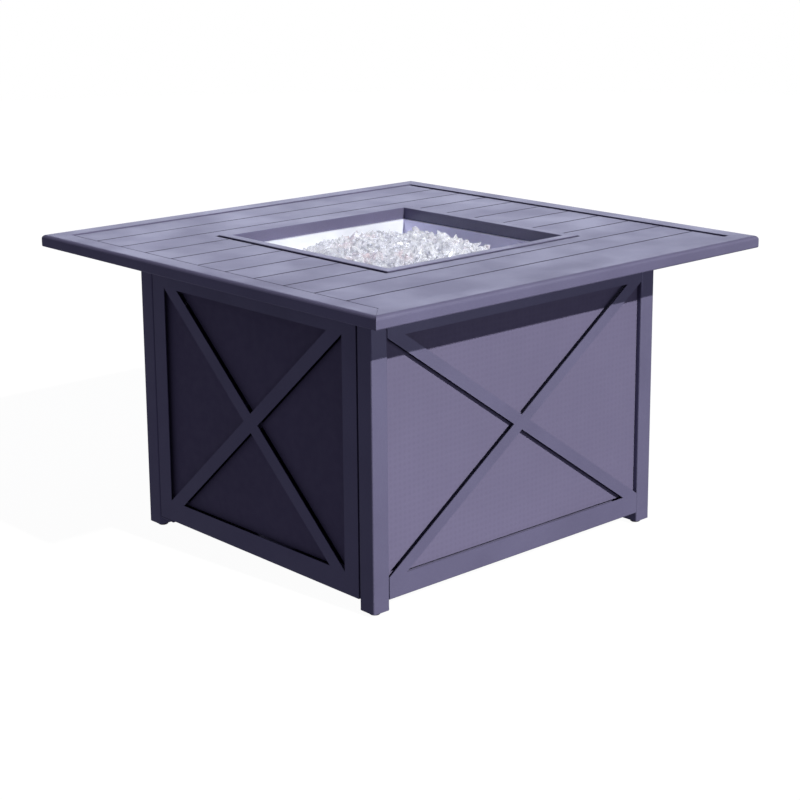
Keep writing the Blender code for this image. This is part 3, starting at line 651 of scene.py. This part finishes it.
def stacked(name, place, axis, profile, sides, material):
    """A closed piece on the table made of rings at (radius, distance along the axis)."""
    bm = bmesh.new()
    axis = Vector(axis)
    rings = []
    for radius, distance in profile:
        rings.append(ring_of(bm, Vector(place) + axis * distance, radius, sides, axis))
    close_stack(bm, rings)
    bmesh.ops.recalc_face_normals(bm, faces=bm.faces)
    add_piece(name, mesh_from(bm, name), material, "table")


def make_dial():
    """Dots that grow round the knob from off to full, and a bar on the knob that points at them."""
    knob_low, knob_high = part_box("control_knob")
    middle = (knob_low + knob_high) / 2
    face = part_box("control_plate")[1].y - MARK_SUNK
    for k in range(7):
        angle = math.radians(90 - DIAL_STEP * k)
        across = DIAL_RADIUS * math.sin(angle)
        place = (middle.x - across, face, middle.z + DIAL_RADIUS * math.cos(angle))
        size = SMALLEST_DOT + DOT_GROWTH * k
        dot = [(size, 0), (size, 0.0002), (size * 0.8, 0.0003)]
        stacked("dial_mark_%d" % (k + 1), place, (0, 1, 0), dot, 16, "white_mark")
    bm = bmesh.new()
    bmesh.ops.create_cube(bm, size=1.0)
    bmesh.ops.scale(bm, vec=POINTER_SIZE, verts=bm.verts)
    place = (middle.x, knob_high.y - MARK_SUNK, middle.z + POINTER_OFFSET)
    bmesh.ops.translate(bm, vec=place, verts=bm.verts)
    bmesh.ops.bevel(bm, geom=bm.edges, offset=POINTER_ROUND, segments=2, affect="EDGES")
    add_piece("knob_pointer", mesh_from(bm, "knob_pointer"), "white_mark", "knob")


def make_pipe_nuts():
    """Flare nuts on the gas pipe, under the valve and under the mixer."""
    pipe_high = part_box("gas_pipe")[1]
    drop = NUT_LENGTH + NUT_CHAMFER
    valve_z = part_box("gas_valve")[0].z - drop
    mixer_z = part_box("air_mixer")[0].z - drop
    narrow = NUT_RADIUS * 0.86
    nut = [(narrow, 0), (NUT_RADIUS, NUT_CHAMFER),
           (NUT_RADIUS, NUT_LENGTH - NUT_CHAMFER), (narrow, NUT_LENGTH)]
    places = [("pipe_nut_valve", (pipe_high.x - PIPE_RADIUS, pipe_high.y - PIPE_RADIUS, valve_z)),
              ("pipe_nut_mixer", (0.0, 0.0, mixer_z))]
    for name, place in places:
        stacked(name, place, (0, 0, 1), nut, 6, "brass")


def make_gasket():
    """A flat ring on the burner pan's flange, which closes the slit round the opening to light from above."""
    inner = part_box("fire_glass")[1].x + GASKET_INSET
    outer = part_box("slat_bearer_back")[0].y - GASKET_SIDE_GAP
    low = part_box("burner_pan")[1].z + GASKET_LIFT
    high = low + GASKET_HEIGHT
    shoulder = high - GASKET_CHAMFER
    section = [(inner, low), (outer, low), (outer, shoulder), (outer - GASKET_CHAMFER, high),
               (inner + GASKET_CHAMFER, high), (inner, shoulder)]
    bm = bmesh.new()
    corners = []
    for side_x, side_y in ((-1, -1), (1, -1), (1, 1), (-1, 1)):
        corners.append([bm.verts.new((side_x * reach, side_y * reach, z)) for reach, z in section])
    for here, there in zip(corners, corners[1:] + corners[:1]):
        for k in range(len(section)):
            n = (k + 1) % len(section)
            bm.faces.new([here[k], there[k], there[n], here[n]])
    bmesh.ops.recalc_face_normals(bm, faces=bm.faces)
    add_piece("pan_gasket", mesh_from(bm, "pan_gasket"), "black_nylon", "table")


# Stage


def make_floor():
    """A pale floor that takes a faint shadow and throws no light back on the table."""
    bm = bmesh.new()
    bmesh.ops.create_circle(bm, cap_ends=True, segments=96, radius=FLOOR_RADIUS)
    mesh = mesh_from(bm, "floor")
    floor = add_object("floor", mesh)
    material = bpy.data.materials.new("floor")
    material.use_nodes = True
    shader = material.node_tree.nodes["Principled BSDF"]
    shader.inputs["Base Color"].default_value = (FLOOR_GREY, FLOOR_GREY, FLOOR_GREY, 1.0)
    shader.inputs["Roughness"].default_value = 1.0
    shader.inputs["Specular IOR Level"].default_value = 0.0
    shader.inputs["Emission Color"].default_value = (1.0, 1.0, 1.0, 1.0)
    shader.inputs["Emission Strength"].default_value = FLOOR_GLOW
    mesh.materials.append(material)
    floor.visible_diffuse = False
    floor.visible_glossy = False
    floor.visible_transmission = False


def gleam_from_below(tree, glossy):
    """The sky's strength: what the gloss of a coat picks up from below the horizon is brighter."""
    coords = tree.nodes.new("ShaderNodeTexCoord")
    parts = tree.nodes.new("ShaderNodeSeparateXYZ")
    below = tree.nodes.new("ShaderNodeMath")
    both = tree.nodes.new("ShaderNodeMath")
    level = tree.nodes.new("ShaderNodeMapRange")
    tree.links.new(coords.outputs["Generated"], parts.inputs["Vector"])
    below.operation = "LESS_THAN"
    below.inputs[1].default_value = 0.0
    tree.links.new(parts.outputs["Z"], below.inputs[0])
    both.operation = "MULTIPLY"
    tree.links.new(below.outputs["Value"], both.inputs[0])
    tree.links.new(glossy, both.inputs[1])
    level.inputs["To Min"].default_value = SKY_LEVEL
    level.inputs["To Max"].default_value = FLOOR_GLEAM
    tree.links.new(both.outputs["Value"], level.inputs["Value"])
    return level.outputs["Result"]


def make_world():
    """A dim tinted sky for lighting, which the camera sees as white."""
    world = bpy.data.worlds.new("studio")
    bpy.context.scene.world = world
    world.use_nodes = True
    tree = world.node_tree
    lit = tree.nodes["Background"]
    lit.inputs["Color"].default_value = (*SKY_TINT, 1.0)
    seen = tree.nodes.new("ShaderNodeBackground")
    seen.inputs["Color"].default_value = (1.0, 1.0, 1.0, 1.0)
    path = tree.nodes.new("ShaderNodeLightPath")
    tree.links.new(gleam_from_below(tree, path.outputs["Is Glossy Ray"]), lit.inputs["Strength"])
    mix = tree.nodes.new("ShaderNodeMixShader")
    tree.links.new(path.outputs["Is Camera Ray"], mix.inputs["Fac"])
    tree.links.new(lit.outputs["Background"], mix.inputs[1])
    tree.links.new(seen.outputs["Background"], mix.inputs[2])
    tree.links.new(mix.outputs["Shader"], tree.nodes["World Output"].inputs["Surface"])


def aim(obj, towards):
    """Turn a lamp so that it shines at a point."""
    obj.rotation_euler = (obj.location - Vector(towards)).to_track_quat("Z", "Y").to_euler()


def add_softbox(name, place, towards, size, power, colour):
    data = bpy.data.lights.new(name, "AREA")
    data.shape = "RECTANGLE"
    data.size = size[0]
    data.size_y = size[1]
    data.energy = power
    data.color = colour
    lamp = add_object(name, data)
    lamp.location = place
    aim(lamp, towards)
    lamp.visible_camera = False


def make_lights():
    data = bpy.data.lights.new("sun", "SUN")
    data.energy = SUN_STRENGTH
    data.angle = math.radians(SUN_SPREAD)
    data.color = SUN_COLOUR
    sun = add_object("sun", data)
    sun.location = SUN_FROM * 4
    aim(sun, (0, 0, 0))
    for name, place, towards, size, power, colour in SOFTBOXES:
        add_softbox(name, place, towards, size, power, colour)


def make_camera():
    azimuth = math.radians(CAMERA_AZIMUTH)
    elevation = math.radians(CAMERA_ELEVATION)
    roll = math.radians(CAMERA_ROLL)
    flat = math.cos(elevation)
    back = Vector((math.sin(azimuth) * flat, -math.cos(azimuth) * flat, math.sin(elevation)))
    level = Vector((math.cos(azimuth), math.sin(azimuth), 0.0))
    right = math.cos(roll) * level + math.sin(roll) * back.cross(level)
    up = back.cross(right)
    data = bpy.data.cameras.new("camera")
    data.lens = CAMERA_LENS
    data.sensor_width = 36.0
    data.shift_y = CAMERA_SHIFT
    camera = add_object("camera", data)
    turn = Matrix((right, up, back)).transposed().to_4x4()
    camera.matrix_world = Matrix.Translation(Vector((0, 0, TOP)) + CAMERA_FROM_TOP) @ turn
    bpy.context.scene.camera = camera


bpy.context.scene.view_settings.view_transform = "Standard"
make_camera()
paint_nodes()
make_crystals()
make_plate_screws()
make_dial()
make_pipe_nuts()
make_gasket()
make_floor()
make_world()
make_lights()
